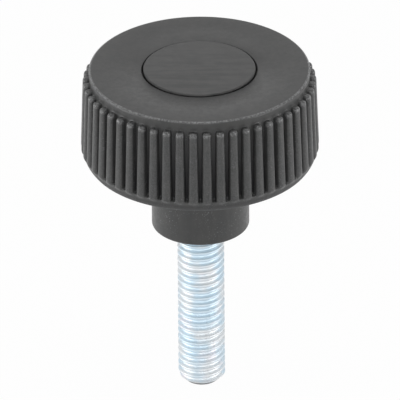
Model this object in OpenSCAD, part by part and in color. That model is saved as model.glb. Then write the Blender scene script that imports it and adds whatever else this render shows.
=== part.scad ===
// Knurled clamping knob: a ribbed plastic head on a round hub, with a threaded steel stud.
//
// Frame: millimetres, +Z up through the head. The origin is the centre of the hub's seat face,
// where the knob bears on what it clamps. The stud hangs below it, along -Z.
//
// The stud is a hexagon-head screw. It drops into the knob from above, its head sits in a
// hexagonal pocket that carries the torque, and a snap-in cap covers the pocket.

/* [Head] */
// Diameter of the smooth shell that carries the ribs
shell_d = 37.7; // [36:0.1:60]
// Height of the head, from its lower rim to its top face
head_h = 16.8; // [15:0.1:24]
// Rounding of the top edge
top_edge_r = 0.4; // [0.3:0.1:1.5]
// Rounding of the lower rim's outer edge
rim_edge_r = 0.8; // [0.2:0.1:1]

/* [Ribs] */
// Number of ribs round the head
rib_n = 53; // [24:1:60]
// Width of a rib at its lower end
rib_w = 1.5; // [1:0.05:1.8]
// Width of a rib at its upper end
rib_tip_w = 1.2; // [0.8:0.05:1.6]
// How far a rib's lower end stands out of the shell
rib_rise = 1.15; // [0.7:0.05:1.2]
// How far a rib's upper end stands out of the shell
rib_tip_rise = 0.75; // [0.3:0.05:0.9]
// Smooth band under the ribs
rim_band = 1.8; // [1:0.1:3]
// Smooth band between the ribs and the top face
shoulder_band = 1.3; // [0.8:0.1:3]

/* [Hub] */
// Diameter of the hub
hub_d = 16.4; // [16:0.2:20]
// Height of the hub, from the seat face to the head's lower rim
hub_h = 12.6; // [8:0.2:16]
// Rounding of the hub's lower edge
hub_edge_r = 0.6; // [0.2:0.1:1.5]

/* [Underside] */
// Wall of the rim at its lower edge, without the ribs
rim_wall = 1.8; // [1.5:0.1:3]
// Thickness of the crown over the recess
crown_t = 4; // [3.5:0.1:5]
// Diameter of the boss at the crown, where it wraps the screw head
boss_d = 20.4; // [19.4:0.2:23]
// Slope of the recess walls, so that the core draws out
draft_deg = 2; // [0.5:0.25:3]
// Rounding where the recess walls meet the crown
recess_root_r = 1; // [0.4:0.1:1.5]
// Number of webs between the hub and the rim
web_n = 4; // [3:1:8]
// Thickness of a web
web_t = 1.6; // [1.2:0.1:2.4]
// How far the webs stop above the lower rim
web_setback = 1.5; // [0.5:0.1:4]

/* [Stud] */
// Major diameter of the thread
thread_d = 7.9; // [7.5:0.05:8]
// Pitch of the thread
pitch = 1.25; // [0.75:0.25:1.25]
// Diameter of the plain shank, which the thread is rolled up from
shank_d = 7.2; // [6.6:0.1:7.2]
// Length of plain shank between the seat face and the thread
plain_l = 1.2; // [0.8:0.1:2]
// Length of the stud below the seat face
stud_l = 30; // [10:5:60]
// Chamfer of the thread's end
thread_chamfer = 1.25; // [0.5:0.05:1.5]
// Width across the flats of the screw head
hex_af = 13; // [12:0.5:14]
// Height of the screw head
hex_h = 5.3; // [4:0.1:5.5]

/* [Cap] */
// Diameter of the cap's disc
cap_d = 18.9; // [18.5:0.1:19.5]
// Thickness of the cap's disc
cap_t = 1.6; // [1.2:0.1:2]
// How far the cap stands above the top face
cap_rise = 0.25; // [0:0.05:0.6]
// Rounding of the cap's upper edge
cap_edge_r = 0.35; // [0.1:0.05:0.6]
// Outer diameter of the cap's skirt
skirt_d = 16.4; // [15.6:0.1:16.8]
// Wall of the cap's skirt
skirt_wall = 1.1; // [0.8:0.1:1.4]
// Depth of the cap's skirt below its disc
skirt_h = 1.9; // [1.2:0.1:2.4]
// How far the skirt's snap bead stands out
snap_rise = 0.2; // [0.1:0.05:0.3]

/* [Fits] */
// Gap round the cap's disc
cap_gap = 0.2; // [0.1:0.05:0.4]
// Radial clearance between the skirt and its pocket
skirt_fit = 0.05; // [0.02:0.01:0.1]
// Radial clearance between the thread and the bore that it passes through
bore_fit = 0.05; // [0.02:0.01:0.1]
// Clearance between each flat of the screw head and its pocket
hex_fit = 0.05; // [0.02:0.01:0.15]
// Free height between the screw head and the cap's skirt
hex_headroom = 0.75; // [0.1:0.05:1.5]

/* [Hidden] */
$fn = 96;

arc_steps = 8;    // flats that make up a quarter round in a profile
overlap = 1;      // how far cutters and joined solids reach past the faces they meet

shell_r = shell_d / 2;
hub_r = hub_d / 2;
thread_r = thread_d / 2;
shank_r = shank_d / 2;
top_z = hub_h + head_h;

// Recess between the hub and the rim
recess_z = top_z - crown_t;
recess_depth = recess_z - hub_h;
rim_inner_r = shell_r - rim_wall;
rim_inner_crown_r = rim_inner_r - recess_depth * tan(draft_deg);
boss_r = boss_d / 2;
rim_inner_edge_r = 0.4;

// Ribs: each is a tapered round bar with domed ends that leans inwards towards its tip
rib_r = rib_w / 2;
rib_tip_r = rib_tip_w / 2;
rib_low_z = hub_h + rim_band + rib_r;
rib_tip_z = top_z - shoulder_band - rib_tip_r;
rib_low_c = shell_r + rib_rise - rib_r;
rib_tip_c = shell_r + rib_tip_rise - rib_tip_r;
rib_lean_deg = atan2(rib_low_c - rib_tip_c, rib_tip_z - rib_low_z);
rib_l = norm([rib_low_c - rib_tip_c, rib_tip_z - rib_low_z]);

// Cap and its seat
ledge_z = top_z + cap_rise - cap_t;
cap_r = cap_d / 2;
seat_r = cap_r + cap_gap;
seat_edge = cap_gap;
skirt_r = skirt_d / 2;
snap_z = ledge_z - skirt_h / 2;
pocket_r = skirt_r + skirt_fit;
pocket_z = ledge_z - skirt_h - skirt_fit;

// Screw: its head bears on the floor of a hexagonal pocket, under the cap's skirt
head_seat_z = ledge_z - skirt_h - hex_headroom - hex_h;
bore_r = thread_r + bore_fit;
bore_mouth = 0.4;
corner_r = hex_af / 2 / cos(30);
hex_chamfer_deg = 30;
hex_face_share = 0.95;   // flat top face of the head, over its width across the flats
hex_face_r = hex_af / 2 * hex_face_share;

// Thread: a basic metric profile, drawn as rings at the pitch
flank_deg = 30;
crest_flat = pitch / 8;
root_flat = pitch / 4;
flank_rise = (pitch - crest_flat - root_flat) / 2 / tan(flank_deg);
groove_n = floor((stud_l - thread_chamfer - plain_l) / pitch);

// Points of an arc about c, from angle a to angle b
function arc(c, r, a, b) =
    [for (i = [0:arc_steps]) let (t = a + (b - a) * i / arc_steps) c + r * [cos(t), sin(t)]];

// Section of the moulding before its bores are cut: crown, rim, hub and the recess between
module shell_section() {
    // The boss flares from the hub's side to its width at the crown
    flare_deg = atan2(boss_r - hub_r, recess_depth);
    boss_root = [boss_r + recess_root_r, recess_z - recess_root_r];
    rim_root = [rim_inner_crown_r - recess_root_r, recess_z - recess_root_r];
    polygon(concat(
        [[0, 0]],
        arc([hub_r - hub_edge_r, hub_edge_r], hub_edge_r, -90, 0),
        [[hub_r, hub_h]],
        arc(boss_root, recess_root_r, 180 - flare_deg, 90),
        arc(rim_root, recess_root_r, 90, draft_deg),
        arc([rim_inner_r + rim_inner_edge_r, hub_h + rim_inner_edge_r], rim_inner_edge_r,
            180 + draft_deg, 270),
        arc([shell_r - rim_edge_r, hub_h + rim_edge_r], rim_edge_r, -90, 0),
        arc([shell_r - top_edge_r, top_z - top_edge_r], top_edge_r, 0, 90),
        [[0, top_z]]
    ));
}

// One rib, standing on the origin along +Z: a tapered bar with a dome at each end
module rib() {
    rotate_extrude() {
        intersection() {
            circle(rib_r);
            translate([0, -rib_r]) square(rib_r);
        }
        polygon([[0, 0], [rib_r, 0], [rib_tip_r, rib_l], [0, rib_l]]);
        translate([0, rib_l]) intersection() {
            circle(rib_tip_r);
            square(rib_tip_r);
        }
    }
}

// The ribs stand half a pitch off the Y axis, so that a groove faces along -Y
module ribs() {
    for (i = [0:rib_n - 1])
        rotate(360 / rib_n * (i + 0.5))
            translate([0, -rib_low_c, rib_low_z])
                rotate([-rib_lean_deg, 0, 0]) rib();
}

// Webs that tie the hub and the crown to the rim, half a pitch off the X axis
module webs() {
    web_z = hub_h + web_setback;
    for (i = [0:web_n - 1])
        rotate(360 / web_n * (i + 0.5))
            translate([hub_r - overlap, -web_t / 2, web_z])
                cube([shell_r - hub_r, web_t, recess_z + overlap - web_z]);
}

// Space for the cap: its disc, with a broken upper edge, and its skirt with the snap groove
module cap_seat() {
    rotate_extrude() {
        polygon([
            [0, ledge_z],
            [seat_r, ledge_z],
            [seat_r, top_z - seat_edge],
            [seat_r + seat_edge + overlap, top_z + overlap],
            [0, top_z + overlap]
        ]);
        skirt_outline(pocket_r, pocket_z, 0);
    }
}

// Outline of the skirt as a solid plug, with its snap bead
module skirt_outline(r, low_z, inner_r) {
    polygon([
        [inner_r, low_z],
        [r, low_z],
        [r, snap_z - snap_rise],
        [r + snap_rise, snap_z],
        [r, snap_z + snap_rise],
        [r, ledge_z],
        [inner_r, ledge_z]
    ]);
}

// Bore that the screw drops through, with a broken edge at the seat face
module screw_bore() {
    translate([0, 0, -overlap]) cylinder(r = bore_r, h = head_seat_z + 2 * overlap);
    translate([0, 0, -overlap])
        cylinder(r1 = bore_r + bore_mouth + overlap, r2 = bore_r, h = bore_mouth + overlap);
}

// Hexagonal pocket that holds the screw head against turning
module hex_pocket() {
    translate([0, 0, head_seat_z])
        cylinder(r = corner_r + hex_fit / cos(30), h = pocket_z + overlap / 2 - head_seat_z, $fn = 6);
}

module knob_body() {
    color("#3b3c3d")
        difference() {
            union() {
                rotate_extrude() shell_section();
                webs();
                ribs();
            }
            screw_bore();
            hex_pocket();
            cap_seat();
        }
}

module cover_cap() {
    color("#3e3f40")
        rotate_extrude() {
            polygon(concat(
                [[0, ledge_z], [cap_r, ledge_z]],
                arc([cap_r - cap_edge_r, ledge_z + cap_t - cap_edge_r], cap_edge_r, 0, 90),
                [[0, ledge_z + cap_t]]
            ));
            skirt_outline(skirt_r, ledge_z - skirt_h, skirt_r - skirt_wall);
        }
}

// Section of one groove between two crests, with its root on the Y axis
module thread_groove() {
    root_half = root_flat / 2;
    mouth_half = root_half + (flank_rise + overlap) * tan(flank_deg);
    polygon([
        [0, -root_half],
        [flank_rise + overlap, -mouth_half],
        [flank_rise + overlap, mouth_half],
        [0, root_half]
    ]);
}

module threaded_stud() {
    color("#c9ccce") {
        // Hexagon head, with its upper corners turned off
        intersection() {
            translate([0, 0, head_seat_z]) cylinder(r = corner_r, h = hex_h, $fn = 6);
            translate([0, 0, head_seat_z]) rotate_extrude() polygon([
                [0, 0],
                [corner_r, 0],
                [corner_r, hex_h - (corner_r - hex_face_r) * tan(hex_chamfer_deg)],
                [hex_face_r, hex_h],
                [0, hex_h]
            ]);
        }
        // Plain shank, sunk into the head, and the thread below it with its end chamfered
        rotate_extrude() difference() {
            polygon([
                [0, -stud_l],
                [thread_r - thread_chamfer, -stud_l],
                [thread_r, thread_chamfer - stud_l],
                [thread_r, -plain_l],
                [shank_r, thread_r - shank_r - plain_l],
                [shank_r, head_seat_z + overlap],
                [0, head_seat_z + overlap]
            ]);
            for (i = [0:groove_n - 1])
                translate([thread_r - flank_rise, -plain_l - pitch * (i + 0.5)]) thread_groove();
        }
    }
}

knob_body();
cover_cap();
threaded_stud();
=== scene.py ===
# A knurled clamping knob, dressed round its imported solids: finer meshes, materials, light, camera.
#
# Metres, in the frame of the solids: +Z up the knob, the origin at the hub's seat face. Only the
# materials measure in millimetres.

import math

import bmesh
import bpy
import numpy as np
from mathutils import Matrix, Vector


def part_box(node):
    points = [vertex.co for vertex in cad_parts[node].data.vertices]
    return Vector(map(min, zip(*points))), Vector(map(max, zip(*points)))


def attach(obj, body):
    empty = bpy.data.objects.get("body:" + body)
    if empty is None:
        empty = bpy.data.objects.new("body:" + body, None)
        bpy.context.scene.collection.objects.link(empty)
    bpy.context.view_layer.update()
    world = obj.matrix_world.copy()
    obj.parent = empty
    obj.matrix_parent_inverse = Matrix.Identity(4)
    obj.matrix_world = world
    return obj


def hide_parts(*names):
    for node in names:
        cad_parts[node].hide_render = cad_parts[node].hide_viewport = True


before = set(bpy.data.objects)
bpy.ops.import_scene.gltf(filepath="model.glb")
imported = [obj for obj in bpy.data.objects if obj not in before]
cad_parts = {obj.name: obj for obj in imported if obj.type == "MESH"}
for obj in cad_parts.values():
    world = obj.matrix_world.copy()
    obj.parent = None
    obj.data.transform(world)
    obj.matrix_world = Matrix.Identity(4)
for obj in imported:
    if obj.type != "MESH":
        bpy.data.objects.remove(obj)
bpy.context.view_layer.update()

MM = 0.001

# ---- Sizes of the solids that the pieces below stand for ----

SEAT_Z, TOP_Z = (corner.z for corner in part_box("knob_body"))
CAP_TOP_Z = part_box("cover_cap")[1].z
STUD_TIP_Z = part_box("threaded_stud")[0].z

# Head: a shell that leans in towards its top, with ribs on it
SHELL_LOW_R = 19.05 * MM
SHELL_TOP_R = 18.6 * MM
HEAD_LOW_Z = 12.6 * MM
TOP_EDGE_R = 0.45 * MM

# Ribs: tapered bars with a dome at each end, given by the axis and half width there
RIB_COUNT = 53
RIB_LOW = {"axis_r": 19.12 * MM, "z": 15.2 * MM, "half": 0.86 * MM}
RIB_TIP = {"axis_r": 18.9 * MM, "z": 26.95 * MM, "half": 0.7 * MM}
RIB_SQUARE = 2.6              # 2 is a round section, more is squarer
RIB_ROOT_BLEND = 0.2 * MM     # width over which a rib's side runs into the shell
SLOT_DEPTH = 0.2 * MM         # how far the shell dips between the ribs

# Rim under the ribs: one broad round, flush with the crests. The slots between the ribs stop at its top
RIM_ROUND_R = 16.2 * MM       # centre of the round's section
RIM_ROUND_Z = 15.0 * MM
RIM_ROUND = 3.5 * MM          # radius of the section
RIM_EDGE = 0.15 * MM          # height of the break along its foot
RIM_EDGE_RUN = 0.3 * MM       # width of the break
SLOT_LOW_Z = 14.6 * MM
SLOT_END_R = 0.45 * MM        # rounding of a slot's lower end
SLOT_EDGE_R = 0.3 * MM        # rounding of the edge there

# Hub and underside
HUB_R = 8.2 * MM
HUB_EDGE_R = 0.4 * MM
BOSS_R = 10.2 * MM
RECESS_Z = 25.4 * MM
RECESS_ROOT_R = 1.0 * MM
RIM_INNER_R = 17.05 * MM
RIM_INNER_EDGE_R = 0.4 * MM
DRAFT_DEG = 2.0
WEB_COUNT = 4
WEB_T = 1.6 * MM
WEB_LOW_Z = 14.1 * MM
WEB_SINK = 0.5 * MM           # how far a web runs into the rim's wall

# Seat of the cap, pocket of the screw head and bore
SEAT_R = 9.65 * MM
SEAT_EDGE = 0.2 * MM
LEDGE_Z = 28.05 * MM
POCKET_R = 8.25 * MM
POCKET_Z = 26.1 * MM
SNAP_RISE = 0.2 * MM
HEAD_SEAT_Z = 20.1 * MM
BORE_R = 4.0 * MM
BORE_MOUTH = 0.4 * MM
HEX_POCKET_AF = 13.1 * MM

# Cap
CAP_R = 9.45 * MM
CAP_EDGE_R = 0.35 * MM
SKIRT_R = 8.2 * MM
SKIRT_INNER_R = 7.1 * MM
SKIRT_LOW_Z = 26.15 * MM
SNAP_Z = (LEDGE_Z + SKIRT_LOW_Z) / 2

# Screw: an M8 thread that runs out into the plain shank, and the hexagon head
PITCH = 1.25 * MM
THREAD_R = 3.95 * MM
THREAD_ROOT_R = 3.38 * MM
FLANK_DEG = 30
CREST_HALF = 0.14 * MM        # half the width of the flat along a thread's crest
# Rounding of the crest and the root: places as shares of their half widths, and how far down or up
CREST_ROUND = ((0, 0), (0.6, 0.004 * MM), (1.1, 0.03 * MM))
ROOT_ROUND = ((1.35, 0.09 * MM), (0.6, 0.02 * MM), (0, 0))
THREAD_CHAMFER = 1.25 * MM
RUNOUT_LOW_Z = -2.1 * MM
RUNOUT_HIGH_Z = -0.8 * MM
SHANK_R = 3.6 * MM
SHANK_LOW_Z = RUNOUT_HIGH_Z + 0.2 * MM
HEX_AF = 13.0 * MM
HEX_H = 5.3 * MM
HEX_FACE_R = 6.175 * MM
HEX_CHAMFER_DEG = 30

# ---- Fineness of the meshes ----

CREST_STEPS = 7       # columns over half a rib's round
ROOT_COLUMNS = (0.03 * MM, 0.08 * MM, 0.16 * MM)      # columns beside a rib, and how far from its side
FLOOR_STEPS = 2       # columns from a rib's root to the middle of the groove
DOME_STEPS = 9        # rows over a rib's dome
PAST_DOME = (0.32 * MM, 0.2 * MM, 0.1 * MM, 0.04 * MM)    # rows past the end of a dome
SLOT_ROWS = (0.12 * MM, 0.3 * MM)     # rows over a rib's lower dome, where the slot ends
WALL_ROWS = 10        # rows along the straight part of the ribs
PLAIN_STEPS = 2       # columns to a rib's pitch away from the ribs
SEARCH_SPAN = (SHELL_TOP_R - 0.5 * MM, SHELL_LOW_R + 1.5 * MM)    # radii that hold the ribbed surface
HALVINGS = 30         # steps of the search between them
EDGE_STEPS = 8        # rows round an edge or a root
INNER_EDGE_STEPS = 6
TOP_EDGE_STEPS = 9
CAP_EDGE_STEPS = 10
CAP_STEPS = 144       # columns round the cap
THREAD_STEPS = 96     # columns round the thread
FLANK_SHARES = (0.35, 0.65)   # depths of the points on a thread's flank, as shares of the whole depth
SPARE_TURNS = 2       # turns of thread past each end of the stud
SHARP_DEG = 50        # edges that turn more than this are drawn sharp
OVERLAP = 1.0 * MM    # how far cutters and joined meshes reach past the faces they meet
SKIN = 0.01 * MM      # least gap between surfaces that would meet, and least radius on the stud
CAP_MIDDLE_R = 0.02 * MM      # least radius on the cap

# ---- Finishes: linear colours, roughnesses, and shares of 1 ----

PLASTIC_DARK = (0.044, 0.045, 0.045)
PLASTIC_LIGHT = (0.055, 0.055, 0.054)
PLASTIC_SPECK = (0.14, 0.142, 0.145)
PLASTIC_ROUGHNESS = (0.34, 0.46)
PLASTIC_SPECULAR = 0.38
PLASTIC_GRAIN = 0.25

# Grooves between the ribs: painted shade in their colour, and a duller finish
GROOVE_PAINTED_SHADE = (0.006, 0.006, 0.007)
GROOVE_ROUGHNESS = 0.8
GROOVE_TOP_SHARE = 0.35       # what is left of the painted shade at a groove's top
RIM_PAINTED_SHADE_SHARE = 0.4               # how much painted shade the rim's foot takes, against a groove

# Polished edges, with a painted highlight in their colour
# painted highlight: the lighter colour of the polished edges, tips and crests
PAINTED_HIGHLIGHT_COLOR = (0.26, 0.262, 0.265)
WORN_ROUGHNESS = 0.24
TIP_POLISH_AND_HIGHLIGHT = 0.7                # how polished the ribs' tips are, and how much painted highlight they take, against the edge round the top face
CREST_POLISH_AND_HIGHLIGHT = 0.12             # how polished their crests are, and how much painted highlight they take

CAP_DARK = (0.03, 0.031, 0.031)
CAP_LIGHT = (0.078, 0.078, 0.077)
CAP_ROUGHNESS = (0.3, 0.54)
CAP_GRAIN = 0.12

ZINC_BLUE = (0.64, 0.76, 0.84)
ZINC_PLAIN = (0.76, 0.79, 0.81)
ZINC_PINK = (0.8, 0.76, 0.8)
ZINC_END = (0.1, 0.1, 0.11)   # darker colour over the last part of the stud, at its tip
ZINC_METALLIC = 0.5
ZINC_ROUGHNESS = (0.42, 0.52)
ZINC_GRAIN = 0.3

# Spans of a noise's values: its middle, and nearly all of it
MIDDLE = (0.35, 0.65)
MOST = (0.3, 0.7)

# ---- Where the finishes, the painted shade and the painted highlight change: radii, heights and depths under the ribs' crests, in millimetres ----

TOP_AT = TOP_Z / MM
RIBS_FROM, RIBS_TO = RIB_LOW["z"] / MM, RIB_TIP["z"] / MM
STUD_END_AT = STUD_TIP_Z / MM

GROOVE_DEPTHS = (0.78, 1.12)
GROOVE_RADII = (17.6, 17.9)
GROOVE_START = (RIBS_FROM - 0.4, RIBS_FROM)
GROOVE_FADE = (RIBS_FROM, RIBS_TO + 0.6)
GROOVE_END = (RIBS_TO - 0.4, RIBS_TO + 0.6)
RIM_FOOT = (RIBS_FROM - 1.6, RIBS_FROM - 0.6)
RIM_RADII = (17.0, 17.5)

POLISH_HIGHLIGHT_EDGE_RADII = (18.15, 18.3)
POLISH_HIGHLIGHT_EDGE_START = (TOP_AT - 0.3, TOP_AT - 0.15)
POLISH_HIGHLIGHT_CREST_DEPTHS = (0.15, 0.6)
POLISH_HIGHLIGHT_CREST_END = (RIBS_TO + 0.6, RIBS_TO + 0.9)
POLISH_HIGHLIGHT_TIP_DEPTHS = (0.5, 0.9)
POLISH_HIGHLIGHT_TIP_START = (RIBS_TO - 0.4, RIBS_TO + 0.2)
POLISH_HIGHLIGHT_TIP_END = (RIBS_TO + 0.5, RIBS_TO + 0.8)

SPECKS_END = (27.6, 28.2)
ZINC_END_SPAN = (STUD_END_AT + 0.45, STUD_END_AT + 0.8)

# ---- Camera, as it stood for the photograph ----

CAMERA_DOWN_DEG = 29.27
CAMERA_LEAN_DEG = -0.46
CAMERA_DISTANCE = 3.0
CAMERA_TARGET = Vector((-0.000075, 0.0, 0.004242))
CAMERA_LENS = 1605.9
CAMERA_SENSOR = 36.0
CAMERA_REACH = 20.0           # far clipping distance

# ---- Studio ----

LAMPS_AIM = Vector((0, 0, 10 * MM))
# Each soft box: turn and rise in degrees as seen from the knob, distance, width and height, and power
SOFT_BOXES = {
    "left": (-78, -1, 0.4, (0.34, 0.085), 1.18),
    "right": (80, -1, 0.4, (0.3, 0.085), 0.49),
    "right_front": (58, -1, 0.4, (0.07, 0.085), 0.36),
    "front_low": (0, 4, 0.4, (0.12, 0.1), 0.23),
    "front_high": (0, 32, 0.4, (0.12, 0.1), 0.15),
    "back": (172, 61, 0.45, (0.42, 0.22), 0.52),
    "top": (0, 88, 0.5, (0.2, 0.2), 0.44),
}
WORLD_FILL = 0.03
FLOOR_HALF = 3.0
FLOOR_COLOR = (0.9, 0.9, 0.9)
FLOOR_ROUGHNESS = 0.9
FLOOR_WHITE = 0.98            # how much of the floor is plain white where it is seen


# ---- Meshes ----

def link(obj):
    bpy.context.scene.collection.objects.link(obj)
    return obj


def arc(center, radius, start_deg, end_deg, steps):
    """Points (r, z) along an arc."""
    turns = [math.radians(start_deg + (end_deg - start_deg) * i / steps) for i in range(steps + 1)]
    return [(center[0] + radius * math.cos(t), center[1] + radius * math.sin(t)) for t in turns]


def round_ring(r, z, count):
    """A ring of points about the knob's axis, which starts at the middle of the front groove."""
    turns = [2 * math.pi * i / count - math.pi / 2 for i in range(count)]
    return [(r * math.cos(t), r * math.sin(t), z) for t in turns]


def bridge(low, high):
    """Faces between two rings of vertex numbers. One may hold a whole multiple of the other's count."""
    if len(low) < len(high):
        return [tuple(reversed(face)) for face in bridge(high, low)]
    per = len(low) // len(high)
    faces = []
    for i in range(len(high)):
        run = [low[(i * per + k) % len(low)] for k in range(per + 1)]
        faces.append((*run, high[(i + 1) % len(high)], high[i]))
    return faces


def mesh_object(name, points, faces):
    data = bpy.data.meshes.new(name)
    data.from_pydata(points, [], faces)
    data.validate()
    return link(bpy.data.objects.new(name, data))


def ring_mesh(name, rings, looped=False):
    """A closed surface through rings of points. Looped, the last ring meets the first. Otherwise both
    ends are closed flat."""
    points, numbers = [], []
    for ring in rings:
        numbers.append(list(range(len(points), len(points) + len(ring))))
        points.extend(ring)
    faces = []
    for low, high in zip(numbers, numbers[1:]):
        faces.extend(bridge(low, high))
    if looped:
        faces.extend(bridge(numbers[-1], numbers[0]))
    else:
        faces.append(tuple(reversed(numbers[0])))
        faces.append(tuple(numbers[-1]))
    return mesh_object(name, points, faces)


def turned(name, profile, count, looped=False):
    return ring_mesh(name, [round_ring(r, z, count) for r, z in profile], looped)


def prism(name, corners, low_z, high_z):
    """An upright prism over the given corners (x, y)."""
    return ring_mesh(name, [[(x, y, z) for x, y in corners] for z in (low_z, high_z)])


def hexagon(across_flats):
    corner = across_flats / 2 / math.cos(math.radians(30))
    turns = [math.radians(60 * i) for i in range(6)]
    return [(corner * math.cos(t), corner * math.sin(t)) for t in turns]


def combine(piece, other, operation):
    """Adds, subtracts or intersects another closed mesh, which is used up."""
    cut = piece.modifiers.new("combine", "BOOLEAN")
    cut.operation = operation
    cut.solver = "MANIFOLD"
    cut.object = other
    bpy.context.view_layer.update()
    depsgraph = bpy.context.evaluated_depsgraph_get()
    result = bpy.data.meshes.new_from_object(piece.evaluated_get(depsgraph))
    piece.modifiers.clear()
    piece.data = result
    bpy.data.objects.remove(other)


def finish_mesh(piece):
    """Smooth shading, with sharp edges where the surface turns a corner."""
    edit = bmesh.new()
    edit.from_mesh(piece.data)
    bmesh.ops.recalc_face_normals(edit, faces=edit.faces)
    for face in edit.faces:
        face.smooth = True
    for edge in edit.edges:
        edge.smooth = edge.calc_face_angle(0) < math.radians(SHARP_DEG)
    edit.to_mesh(piece.data)
    edit.free()


# ---- Body ----

def bar_distance(side, out, z):
    """Distance to one rib. side and out are across and along the radius through its middle."""
    low = np.array([0, RIB_LOW["axis_r"], RIB_LOW["z"]])
    tip = np.array([0, RIB_TIP["axis_r"], RIB_TIP["z"]])
    run = tip - low
    place = np.stack([side, out, z], -1) - low
    share = np.clip(place @ run / (run @ run), 0, 1)
    half = RIB_LOW["half"] + (RIB_TIP["half"] - RIB_LOW["half"]) * share
    away = np.abs(place - share[..., None] * run)
    return np.sum(away ** RIB_SQUARE, -1) ** (1 / RIB_SQUARE) - half


def shell_radius(z):
    return SHELL_LOW_R + (SHELL_TOP_R - SHELL_LOW_R) * (z - HEAD_LOW_Z) / (TOP_Z - HEAD_LOW_Z)


def smooth_union(one, other, width):
    """The nearer of two distances, with the surfaces run into each other over a width."""
    blend = np.maximum(width - np.abs(one - other), 0) / width
    return np.minimum(one, other) - blend ** 2 * width / 4


def ribbed_distance(radius, turn, z):
    """Distance to the shell, the rim's round and a rib. turn is measured from the rib's middle."""
    bar = bar_distance(radius * np.sin(turn), radius * np.cos(turn), z)
    shell = radius - shell_radius(z) + SLOT_DEPTH * np.clip((z - SLOT_LOW_Z) / SLOT_DEPTH, 0, 1)
    rim = np.hypot(radius - RIM_ROUND_R, z - RIM_ROUND_Z) - RIM_ROUND
    rim = -smooth_union(-rim, SLOT_LOW_Z - z, SLOT_EDGE_R)
    low_end = np.clip((RIB_LOW["z"] - z) / SLOT_END_R, 0, 1)
    blend = RIB_ROOT_BLEND + (SLOT_END_R - RIB_ROOT_BLEND) * low_end
    return smooth_union(bar, smooth_union(rim, shell, SLOT_END_R), blend)


def ribbed_radius(turn, z):
    """Radius of the ribbed surface, found by halving the span that holds it."""
    inside, outside = (np.full(turn.shape, radius) for radius in SEARCH_SPAN)
    for _ in range(HALVINGS):
        middle = (inside + outside) / 2
        is_in = ribbed_distance(middle, turn, z) < 0
        inside = np.where(is_in, middle, inside)
        outside = np.where(is_in, outside, middle)
    return (inside + outside) / 2


def half_pitch_turns(axis_r, half):
    """Angles of the columns from a rib's middle to the middle of the groove, close at its root."""
    rounds = np.radians(np.linspace(0, 90, CREST_STEPS + 1))
    crest = np.arctan2(half * np.sin(rounds), axis_r + half * np.cos(rounds))
    root = [(half + step) / axis_r for step in ROOT_COLUMNS]
    floor = np.linspace(root[-1], math.pi / RIB_COUNT, FLOOR_STEPS + 1)[1:]
    return np.concatenate([crest, root, floor])


def ribbed_ring(z, axis_r, half):
    """One ring of the ribbed wall."""
    turns = half_pitch_turns(axis_r, half)
    radii = ribbed_radius(turns, np.full(turns.shape, z))
    pitch = 2 * math.pi / RIB_COUNT
    points = []
    for i in range(RIB_COUNT):
        middle = pitch * (i + 0.5) - math.pi / 2
        rising = [(middle - t, r) for t, r in zip(turns[:0:-1], radii[:0:-1])]
        falling = [(middle + t, r) for t, r in zip(turns[:-1], radii[:-1])]
        points.extend((r * math.cos(t), r * math.sin(t), z) for t, r in rising + falling)
    return points


def dome_rows(end, way):
    """Rows (z, axis_r, half) from past a rib's end over its dome. way is -1 for the lower end, 1 for
    the tip."""
    rises = [math.radians(90 * i / DOME_STEPS) for i in range(DOME_STEPS + 1)]
    least = math.cos(rises[-2])
    rows = [(end["half"] + step, least) for step in PAST_DOME]
    rows += [(end["half"] * math.sin(rise), max(math.cos(rise), least)) for rise in reversed(rises)]
    return [(end["z"] + way * away, end["axis_r"], end["half"] * share) for away, share in rows]


def ribbed_wall():
    """Rings from the smooth band under the ribs to the one above them."""
    shares = [height / (RIB_TIP["z"] - RIB_LOW["z"]) for height in SLOT_ROWS]
    shares += [shares[-1] + (1 - shares[-1]) * i / WALL_ROWS for i in range(1, WALL_ROWS)]
    straight = [tuple(RIB_LOW[key] + (RIB_TIP[key] - RIB_LOW[key]) * share
                      for key in ("z", "axis_r", "half")) for share in shares]
    rows = dome_rows(RIB_LOW, -1) + straight + dome_rows(RIB_TIP, 1)[::-1]
    return [ribbed_ring(*row) for row in rows]


def ribbed_count():
    return len(ribbed_ring(RIB_LOW["z"], RIB_LOW["axis_r"], RIB_LOW["half"]))


def underside_profile():
    """Points (r, z) over the seat face, up the hub and across the recess to the rim's inner edge."""
    rim_crown_r = RIM_INNER_R - (RECESS_Z - HEAD_LOW_Z) * math.tan(math.radians(DRAFT_DEG))
    flare_deg = math.degrees(math.atan2(BOSS_R - HUB_R, RECESS_Z - HEAD_LOW_Z))
    root_z = RECESS_Z - RECESS_ROOT_R
    inner_edge = (RIM_INNER_R + RIM_INNER_EDGE_R, HEAD_LOW_Z + RIM_INNER_EDGE_R)
    return (
        [(BORE_R + BORE_MOUTH, SEAT_Z)]
        + arc((HUB_R - HUB_EDGE_R, SEAT_Z + HUB_EDGE_R), HUB_EDGE_R, -90, 0, EDGE_STEPS)
        + [(HUB_R, HEAD_LOW_Z)]
        + arc((BOSS_R + RECESS_ROOT_R, root_z), RECESS_ROOT_R, 180 - flare_deg, 90, EDGE_STEPS)
        + arc((rim_crown_r - RECESS_ROOT_R, root_z), RECESS_ROOT_R, 90, DRAFT_DEG, EDGE_STEPS)
        + arc(inner_edge, RIM_INNER_EDGE_R, 180 + DRAFT_DEG, 270, INNER_EDGE_STEPS)
    )


def rim_profile():
    """Points (r, z) of the rim's round, from the break at its foot to just under the ribbed wall."""
    wall_low_z = RIB_LOW["z"] - RIB_LOW["half"] - PAST_DOME[0]
    foot_deg, wall_deg = (math.degrees(math.asin((z - RIM_ROUND_Z) / RIM_ROUND))
                          for z in (HEAD_LOW_Z + RIM_EDGE, wall_low_z))
    points = arc((RIM_ROUND_R, RIM_ROUND_Z), RIM_ROUND, foot_deg, wall_deg, EDGE_STEPS)[:-1]
    foot = (points[0][0] - RIM_EDGE_RUN, HEAD_LOW_Z)
    return [foot] + points


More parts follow.
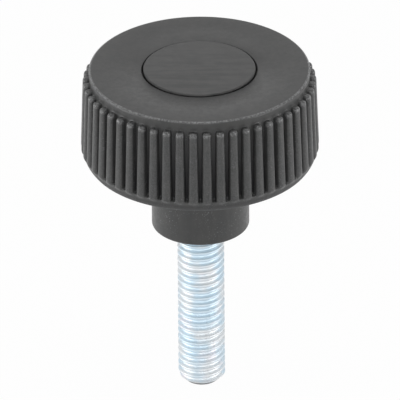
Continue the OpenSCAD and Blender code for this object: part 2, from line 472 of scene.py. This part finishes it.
def inside_profile():
    """Points (r, z) from the top face down through the cap's seat, the skirt's pocket and the bore."""
    return [
        (SEAT_R + SEAT_EDGE, TOP_Z),
        (SEAT_R, TOP_Z - SEAT_EDGE),
        (SEAT_R, LEDGE_Z),
        (POCKET_R, LEDGE_Z),
        (POCKET_R, SNAP_Z + SNAP_RISE),
        (POCKET_R + SNAP_RISE, SNAP_Z),
        (POCKET_R, SNAP_Z - SNAP_RISE),
        (POCKET_R, POCKET_Z),
        (BORE_R, POCKET_Z),
        (BORE_R, SEAT_Z + BORE_MOUTH),
    ]


def body_mesh():
    """The moulding: crown, rim, hub and the recess between, with its webs and pockets."""
    plain = RIB_COUNT * PLAIN_STEPS
    fine = ribbed_count()
    top_edge = arc((SHELL_TOP_R - TOP_EDGE_R, TOP_Z - TOP_EDGE_R), TOP_EDGE_R, 0, 90, TOP_EDGE_STEPS)
    rings = [round_ring(r, z, plain) for r, z in underside_profile()]
    rings += [round_ring(r, z, fine) for r, z in rim_profile()]
    rings += ribbed_wall()
    rings += [round_ring(r, z, fine) for r, z in top_edge]
    rings += [round_ring(r, z, plain) for r, z in inside_profile()]
    body = ring_mesh("knob", rings, looped=True)
    for i in range(WEB_COUNT):
        combine(body, web(2 * math.pi * (i + 0.5) / WEB_COUNT), "UNION")
    pocket = prism("hex_pocket", hexagon(HEX_POCKET_AF), HEAD_SEAT_Z, POCKET_Z + OVERLAP)
    combine(body, pocket, "DIFFERENCE")
    finish_mesh(body)
    return body


def web(turn):
    """One web between the hub and the rim, sunk into both and into the crown."""
    inner, outer = HUB_R - OVERLAP, RIM_INNER_R + WEB_SINK
    corners = [(inner, -WEB_T / 2), (outer, -WEB_T / 2), (outer, WEB_T / 2), (inner, WEB_T / 2)]
    piece = prism("web", corners, WEB_LOW_Z, RECESS_Z + OVERLAP)
    piece.data.transform(Matrix.Rotation(turn, 4, "Z"))
    return piece


# ---- Cap ----

def cap_mesh():
    """The snap-in cap: a disc with a rounded edge, and the skirt that holds it."""
    profile = (
        [(CAP_MIDDLE_R, LEDGE_Z), (SKIRT_INNER_R, LEDGE_Z), (SKIRT_INNER_R, SKIRT_LOW_Z)]
        + [(SKIRT_R, SKIRT_LOW_Z), (SKIRT_R, SNAP_Z - SNAP_RISE), (SKIRT_R + SNAP_RISE, SNAP_Z)]
        + [(SKIRT_R, SNAP_Z + SNAP_RISE), (SKIRT_R, LEDGE_Z), (CAP_R, LEDGE_Z)]
        + arc((CAP_R - CAP_EDGE_R, CAP_TOP_Z - CAP_EDGE_R), CAP_EDGE_R, 0, 90, CAP_EDGE_STEPS)
        + [(CAP_MIDDLE_R, CAP_TOP_Z)]
    )
    cap = turned("cap", profile, CAP_STEPS)
    finish_mesh(cap)
    return cap


# ---- Stud ----

def thread_profile():
    """Points (height over the crest's middle, radius) of one turn of thread, from crest to crest."""
    flank = math.tan(math.radians(FLANK_DEG))
    depth = THREAD_R - THREAD_ROOT_R
    root_half = PITCH / 2 - CREST_HALF - depth * flank
    half = [(CREST_HALF * share, THREAD_R - fall) for share, fall in CREST_ROUND]
    half += [(CREST_HALF + depth * share * flank, THREAD_R - depth * share) for share in FLANK_SHARES]
    half += [(PITCH / 2 - root_half * share, THREAD_ROOT_R + rise) for share, rise in ROOT_ROUND]
    return half + [(PITCH - z, r) for z, r in half[-2:0:-1]]


def thread_point(z, r, k):
    """Where column k crosses the row that starts at (z, r). Towards the seat face the thread runs out
    into the shank."""
    height = z + PITCH * k / THREAD_STEPS
    fade = min(max((height - RUNOUT_LOW_Z) / (RUNOUT_HIGH_Z - RUNOUT_LOW_Z), 0), 1)
    radius = r + (SHANK_R - SKIN - r) * fade
    turn = 2 * math.pi * k / THREAD_STEPS
    return (radius * math.cos(turn), radius * math.sin(turn), height)


def thread_number(row, k):
    """The number of the vertex in a row of the thread and a column round it."""
    return row * THREAD_STEPS + k


def thread_faces(last_row, per_turn):
    """The thread's surface, in which each row's end meets the start of the row one turn further up."""
    number = thread_number
    last_k = THREAD_STEPS - 1
    faces = []
    for row in range(last_row):
        for k in range(last_k):
            near = (number(row, k), number(row, k + 1))
            far = (number(row + 1, k + 1), number(row + 1, k))
            faces.append(near + far)
    for row in range(last_row - per_turn):
        up = row + per_turn
        faces.append((number(row, last_k), number(up, 0), number(up + 1, 0), number(row + 1, last_k)))
    return faces


def thread_mesh():
    """The thread as one closed helical surface, which reaches past the stud at both ends."""
    profile = thread_profile()
    per_turn = len(profile)
    turns = range(math.floor(STUD_TIP_Z / PITCH) - SPARE_TURNS, SPARE_TURNS + 1)
    rows = [(turn * PITCH + z, r) for turn in turns for z, r in profile]
    last_row, last_k = len(rows) - 1, THREAD_STEPS - 1
    points = [thread_point(z, r, k) for z, r in rows for k in range(THREAD_STEPS)]
    faces = thread_faces(last_row, per_turn)
    low_edge = [thread_number(0, k) for k in range(THREAD_STEPS)]
    low_edge += [thread_number(row, 0) for row in range(per_turn, 0, -1)]
    high_edge = [thread_number(last_row, k) for k in range(THREAD_STEPS)]
    high_edge += [thread_number(row, last_k) for row in range(last_row - 1, last_row - per_turn - 1, -1)]
    for edge, z in ((low_edge[::-1], rows[0][0]), (high_edge, rows[-1][0] + PITCH)):
        middle = len(points)
        points.append((0, 0, z))
        faces.extend((edge[i], edge[(i + 1) % len(edge)], middle) for i in range(len(edge)))
    return mesh_object("stud", points, faces)


def stud_envelope():
    """The stud's outline with its chamfered end, wide enough elsewhere to leave the thread alone."""
    outer_r = THREAD_R + OVERLAP
    high_z = RUNOUT_HIGH_Z + 2 * OVERLAP
    profile = [
        (SKIN, STUD_TIP_Z),
        (THREAD_R - THREAD_CHAMFER, STUD_TIP_Z),
        (outer_r, STUD_TIP_Z + THREAD_CHAMFER + OVERLAP),
        (outer_r, high_z),
        (SKIN, high_z),
    ]
    return turned("envelope", profile, THREAD_STEPS)


def shank_mesh():
    """The plain shank, from the thread's run-out into the screw's head."""
    high_z = HEAD_SEAT_Z + OVERLAP
    profile = [(SKIN, SHANK_LOW_Z), (SHANK_R, SHANK_LOW_Z), (SHANK_R, high_z), (SKIN, high_z)]
    return turned("shank", profile, THREAD_STEPS)


def hex_head():
    """The screw's hexagon head, with its upper corners turned off."""
    head = prism("head", hexagon(HEX_AF), HEAD_SEAT_Z, HEAD_SEAT_Z + HEX_H)
    reach = HEX_AF
    fall = (reach - HEX_FACE_R) * math.tan(math.radians(HEX_CHAMFER_DEG))
    crown = [
        (SKIN, HEAD_SEAT_Z - OVERLAP),
        (reach, HEAD_SEAT_Z - OVERLAP),
        (reach, HEAD_SEAT_Z + HEX_H - fall),
        (HEX_FACE_R, HEAD_SEAT_Z + HEX_H),
        (SKIN, HEAD_SEAT_Z + HEX_H),
    ]
    combine(head, turned("crown", crown, THREAD_STEPS), "INTERSECT")
    return head


def stud_mesh():
    """The screw: its thread cut to length, its shank and its head."""
    stud = thread_mesh()
    combine(stud, stud_envelope(), "INTERSECT")
    combine(stud, shank_mesh(), "UNION")
    combine(stud, hex_head(), "UNION")
    finish_mesh(stud)
    return stud


# ---- Materials ----

class Shading:
    """A material's nodes, with short ways to add the ones used here. Its lengths are in millimetres."""

    def __init__(self, name):
        self.material = bpy.data.materials.new(name)
        self.material.use_nodes = True
        self.nodes = self.material.node_tree.nodes
        self.links = self.material.node_tree.links
        self.shader = self.nodes["Principled BSDF"]

    def add(self, kind, **settings):
        node = self.nodes.new(kind)
        for key, value in settings.items():
            setattr(node, key, value)
        return node

    def feed(self, socket, value):
        if isinstance(value, bpy.types.NodeSocket):
            self.links.new(value, socket)
        else:
            socket.default_value = value

    def place(self, stretch=(1, 1, 1)):
        """Places on the piece in millimetres, squeezed by the given shares."""
        mapping = self.add("ShaderNodeMapping")
        mapping.inputs["Scale"].default_value = [share / MM for share in stretch]
        self.links.new(self.add("ShaderNodeTexCoord").outputs["Object"], mapping.inputs["Vector"])
        return mapping.outputs["Vector"]

    def height(self):
        """Height over the seat face in millimetres."""
        axes = self.add("ShaderNodeSeparateXYZ")
        self.feed(axes.inputs[0], self.place())
        return axes.outputs["Z"]

    def noise(self, scale, detail=2.0, roughness=0.5, stretch=(1, 1, 1)):
        node = self.add("ShaderNodeTexNoise")
        self.feed(node.inputs["Vector"], self.place(stretch))
        node.inputs["Scale"].default_value = scale
        node.inputs["Detail"].default_value = detail
        node.inputs["Roughness"].default_value = roughness
        return node.outputs["Fac"]

    def range(self, value, low, high, to_low=0, to_high=1):
        """Stretches low to high over to_low to to_high, smoothly and no further."""
        node = self.add("ShaderNodeMapRange", interpolation_type="SMOOTHSTEP")
        self.feed(node.inputs["Value"], value)
        ends = {"From Min": low, "From Max": high, "To Min": to_low, "To Max": to_high}
        for key, number in ends.items():
            node.inputs[key].default_value = number
        return node.outputs["Result"]

    def math(self, operation, first, second):
        node = self.add("ShaderNodeMath", operation=operation)
        self.feed(node.inputs[0], first)
        self.feed(node.inputs[1], second)
        return node.outputs[0]

    def product(self, first, *others):
        """All the given values multiplied."""
        for other in others:
            first = self.math("MULTIPLY", first, other)
        return first

    def mix(self, share, first, second):
        """A mix of two colours."""
        node = self.add("ShaderNodeMix", data_type="RGBA")
        self.feed(node.inputs["Factor"], share)
        for socket, color in ((node.inputs[6], first), (node.inputs[7], second)):
            self.feed(socket, color if isinstance(color, bpy.types.NodeSocket) else (*color, 1))
        return node.outputs[2]

    def blend(self, share, first, second):
        """A mix of two numbers."""
        node = self.add("ShaderNodeMix", data_type="FLOAT")
        self.feed(node.inputs["Factor"], share)
        self.feed(node.inputs[2], first)
        self.feed(node.inputs[3], second)
        return node.outputs[0]

    def bump(self, height, depth, strength):
        node = self.add("ShaderNodeBump")
        self.feed(node.inputs["Height"], height)
        node.inputs["Distance"].default_value = depth * MM
        node.inputs["Strength"].default_value = strength
        return node.outputs["Normal"]

    def set(self, **sockets):
        """Feeds the shader's sockets, named with _ for a space."""
        for key, value in sockets.items():
            self.feed(self.shader.inputs[key.replace("_", " ")], value)


def rib_depth(look, radius, height):
    """Depth under the line of the ribs' crests, in millimetres."""
    low_crest, tip_crest = ((end["axis_r"] + end["half"]) / MM for end in (RIB_LOW, RIB_TIP))
    risen = look.math("SUBTRACT", height, RIBS_FROM)
    fall = look.math("MULTIPLY", risen, (low_crest - tip_crest) / (RIBS_TO - RIBS_FROM))
    return look.math("SUBTRACT", low_crest, look.math("ADD", radius, fall))


def painted_shade_share(look, radius, height, depth):
    """Share of painted shade, and of dullness: 1 deep in the grooves between the ribs, less near their
    tops and on the rim's foot, else 0.
    """
    groove = look.product(
        look.range(depth, *GROOVE_DEPTHS),
        look.range(radius, *GROOVE_RADII),
        look.range(height, *GROOVE_START),
        look.range(height, *GROOVE_FADE, 1, GROOVE_TOP_SHARE),
        look.range(height, *GROOVE_END, 1, 0),
    )
    # painted shade on the rim's foot, which faces down
    rim = look.product(look.range(height, *RIM_FOOT, RIM_PAINTED_SHADE_SHARE, 0), look.range(radius, *RIM_RADII))
    return look.math("MAXIMUM", groove, rim)


def polish_and_highlight_share(look, radius, height, depth):
    """Where hands and cloths have polished the plastic, and where a highlight is painted into its
    colour, in patches: the edge round the top face, and the crests and tips of the ribs."""
    edge = look.product(look.range(radius, *POLISH_HIGHLIGHT_EDGE_RADII), look.range(height, *POLISH_HIGHLIGHT_EDGE_START))
    crest = look.product(
        look.range(depth, *POLISH_HIGHLIGHT_CREST_DEPTHS, CREST_POLISH_AND_HIGHLIGHT, 0),
        look.range(height, *POLISH_HIGHLIGHT_CREST_END, 1, 0),
    )
    tip = look.product(
        look.range(height, *POLISH_HIGHLIGHT_TIP_START),
        look.range(height, *POLISH_HIGHLIGHT_TIP_END, 1, 0),
        look.range(depth, *POLISH_HIGHLIGHT_TIP_DEPTHS, TIP_POLISH_AND_HIGHLIGHT, 0),
    )
    patchy = look.range(look.noise(3.5, detail=2.0, roughness=0.7), 0.4, 0.62, 0.15, 1)
    return look.product(look.math("MAXIMUM", look.math("MAXIMUM", edge, tip), crest), patchy)


def speck_share(look, height):
    """Small bright specks in drifts, on the ribs, the rim and the hub and hardly on the top face."""
    return look.product(
        look.range(look.noise(4.5, detail=1.0), 0.64, 0.72),
        look.range(look.noise(0.25, detail=2.0), 0.42, 0.62, 0.15, 1),
        look.range(height, *SPECKS_END, 1, 0.1),
    )


def weighted(look, first, second, share):
    """The first value by its share, and the second by the rest."""
    return look.math("ADD", look.product(first, share), look.product(second, 1 - share))


def mould_grain(look, strength):
    """The fine texture that a mould leaves on plastic."""
    return look.bump(look.noise(3.2, detail=3.0, roughness=0.65), 0.03, strength)


def knob_plastic():
    """Dark grey moulded plastic: satin, faintly mottled, streaked along the draw, with small bright
    specks. The grooves and the rim's foot are duller than the rest and have painted shade in their
    colour, and the edges are polished and have a painted highlight in their colour."""
    look = Shading("knob_plastic")
    around = look.add("ShaderNodeVectorMath", operation="LENGTH")
    look.feed(around.inputs[0], look.place((1, 1, 0)))
    radius = around.outputs["Value"]
    height = look.height()
    depth = rib_depth(look, radius, height)
    # painted shade: the grooves and the rim's foot are given a near-black colour
    groove = painted_shade_share(look, radius, height, depth)
    polish_and_highlight = polish_and_highlight_share(look, radius, height, depth)
    mottle = look.noise(0.4, detail=3.0)
    streak = look.noise(1.6, detail=2.0, stretch=(1, 1, 0.12))
    shade = weighted(look, mottle, streak, 0.6)
    color = look.mix(look.range(shade, *MIDDLE), PLASTIC_DARK, PLASTIC_LIGHT)
    # painted highlight: the polished edges and the ribs' tips and crests are lightened
    color = look.mix(polish_and_highlight, color, PAINTED_HIGHLIGHT_COLOR)
    color = look.mix(speck_share(look, height), color, PLASTIC_SPECK)
    roughness = look.range(look.noise(1.1, detail=3.0, roughness=0.6), *MOST, *PLASTIC_ROUGHNESS)
    roughness = look.blend(polish_and_highlight, roughness, WORN_ROUGHNESS)
    look.set(
        Base_Color=look.mix(groove, color, GROOVE_PAINTED_SHADE),
        Roughness=look.blend(groove, roughness, GROOVE_ROUGHNESS),
        Specular_IOR_Level=PLASTIC_SPECULAR,
        Normal=mould_grain(look, PLASTIC_GRAIN),
    )
    return look.material


def cap_plastic():
    """The cap's plastic: smoother, with faint flow lines across it."""
    look = Shading("cap_plastic")
    flow = look.noise(0.9, detail=3.0, roughness=0.6, stretch=(0.12, 1, 1))
    mottle = look.noise(0.5, detail=2.0)
    shade = weighted(look, flow, mottle, 0.75)
    look.set(
        Base_Color=look.mix(look.range(shade, *MIDDLE), CAP_DARK, CAP_LIGHT),
        Roughness=look.range(flow, *MOST, *CAP_ROUGHNESS),
        Specular_IOR_Level=PLASTIC_SPECULAR,
        Normal=mould_grain(look, CAP_GRAIN),
    )
    return look.material


def zinc_steel():
    """Bright zinc plate: bluish, with faint pastel tints, and darker over its lower end."""
    look = Shading("zinc_plated_steel")
    tint = look.mix(look.range(look.noise(0.22, detail=2.0), 0.4, 0.6), ZINC_BLUE, ZINC_PLAIN)
    blush = look.range(look.noise(0.3, detail=1.0, stretch=(1, 1, 0.6)), 0.55, 0.72, 0, 0.6)
    end = look.range(look.height(), *ZINC_END_SPAN, 1, 0)
    grain = look.noise(4.0, detail=2.0, roughness=0.6, stretch=(0.5, 0.5, 1))
    look.set(
        Base_Color=look.mix(end, look.mix(blush, tint, ZINC_PINK), ZINC_END),
        Metallic=ZINC_METALLIC,
        Roughness=look.range(look.noise(1.5, detail=3.0, roughness=0.6), *MOST, *ZINC_ROUGHNESS),
        Normal=look.bump(grain, 0.01, ZINC_GRAIN),
    )
    return look.material


def dress(piece, node, material):
    """Gives a piece its material and puts it in the place of a node's solid."""
    piece.data.materials.clear()
    piece.data.materials.append(material)
    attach(piece, "root")
    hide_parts(node)


# ---- Camera and studio ----

def make_camera():
    """A long lens at the photograph's angle."""
    down = math.radians(CAMERA_DOWN_DEG)
    forward = Vector((0, math.cos(down), -math.sin(down)))
    right = Matrix.Rotation(math.radians(CAMERA_LEAN_DEG), 3, -forward) @ Vector((1, 0, 0))
    up = right.cross(forward)
    data = bpy.data.cameras.new("camera")
    data.lens = CAMERA_LENS
    data.sensor_width = CAMERA_SENSOR
    data.clip_end = CAMERA_REACH
    camera = link(bpy.data.objects.new("camera", data))
    matrix = Matrix((right, up, -forward)).transposed().to_4x4()
    matrix.translation = CAMERA_TARGET - forward * CAMERA_DISTANCE
    camera.matrix_world = matrix
    bpy.context.scene.camera = camera


def soft_box(name, turn_deg, rise_deg, away, size, power):
    """A soft box that faces the knob. turn_deg is 0 on the camera's side and 90 on the right."""
    turn, rise = math.radians(turn_deg), math.radians(rise_deg)
    way = Vector((math.sin(turn) * math.cos(rise), -math.cos(turn) * math.cos(rise), math.sin(rise)))
    data = bpy.data.lights.new(name, "AREA")
    data.shape = "RECTANGLE"
    data.size, data.size_y = size
    data.energy = power
    lamp = link(bpy.data.objects.new(name, data))
    lamp.location = LAMPS_AIM + way * away
    lamp.rotation_euler = (-way).to_track_quat("-Z", "Y").to_euler()
    lamp.visible_camera = False


def seen_directly(nodes, links):
    """1 for a ray that shows the backdrop itself: from the camera, off a gloss or through glass."""
    path = nodes.new("ShaderNodeLightPath")
    total = path.outputs["Is Camera Ray"]
    for key in ("Is Glossy Ray", "Is Transmission Ray"):
        either = nodes.new("ShaderNodeMath")
        either.operation = "MAXIMUM"
        links.new(total, either.inputs[0])
        links.new(path.outputs[key], either.inputs[1])
        total = either.outputs[0]
    return total


def make_world():
    """White where it is seen, and a weak fill where it only lights."""
    world = bpy.data.worlds.new("studio")
    world.use_nodes = True
    bpy.context.scene.world = world
    nodes, links = world.node_tree.nodes, world.node_tree.links
    strength = nodes.new("ShaderNodeMapRange")
    strength.inputs["To Min"].default_value = WORLD_FILL
    strength.inputs["To Max"].default_value = 1.0
    links.new(seen_directly(nodes, links), strength.inputs["Value"])
    links.new(strength.outputs["Result"], nodes["Background"].inputs["Strength"])
    nodes["Background"].inputs["Color"].default_value = (1, 1, 1, 1)


def make_floor():
    """A pale floor. Where it is seen it is mostly plain white, with the rest left to take the shadow."""
    sides = ((-1, -1), (1, -1), (1, 1), (-1, 1))
    corners = [(x * FLOOR_HALF, y * FLOOR_HALF, STUD_TIP_Z - SKIN) for x, y in sides]
    floor = mesh_object("floor", corners, [(0, 1, 2, 3)])
    look = Shading("floor")
    look.set(Base_Color=(*FLOOR_COLOR, 1), Roughness=FLOOR_ROUGHNESS, Specular_IOR_Level=0.0)
    white = look.add("ShaderNodeEmission")
    share = look.math("MULTIPLY", seen_directly(look.nodes, look.links), FLOOR_WHITE)
    blend = look.add("ShaderNodeMixShader")
    look.feed(blend.inputs["Fac"], share)
    look.links.new(look.shader.outputs["BSDF"], blend.inputs[1])
    look.links.new(white.outputs["Emission"], blend.inputs[2])
    look.links.new(blend.outputs["Shader"], look.nodes["Material Output"].inputs["Surface"])
    floor.data.materials.append(look.material)


make_camera()
dress(body_mesh(), "knob_body", knob_plastic())
dress(cap_mesh(), "cover_cap", cap_plastic())
dress(stud_mesh(), "threaded_stud", zinc_steel())
for name, box in SOFT_BOXES.items():
    soft_box(name, *box)
make_world()
make_floor()
bpy.context.scene.view_settings.view_transform = "Standard"
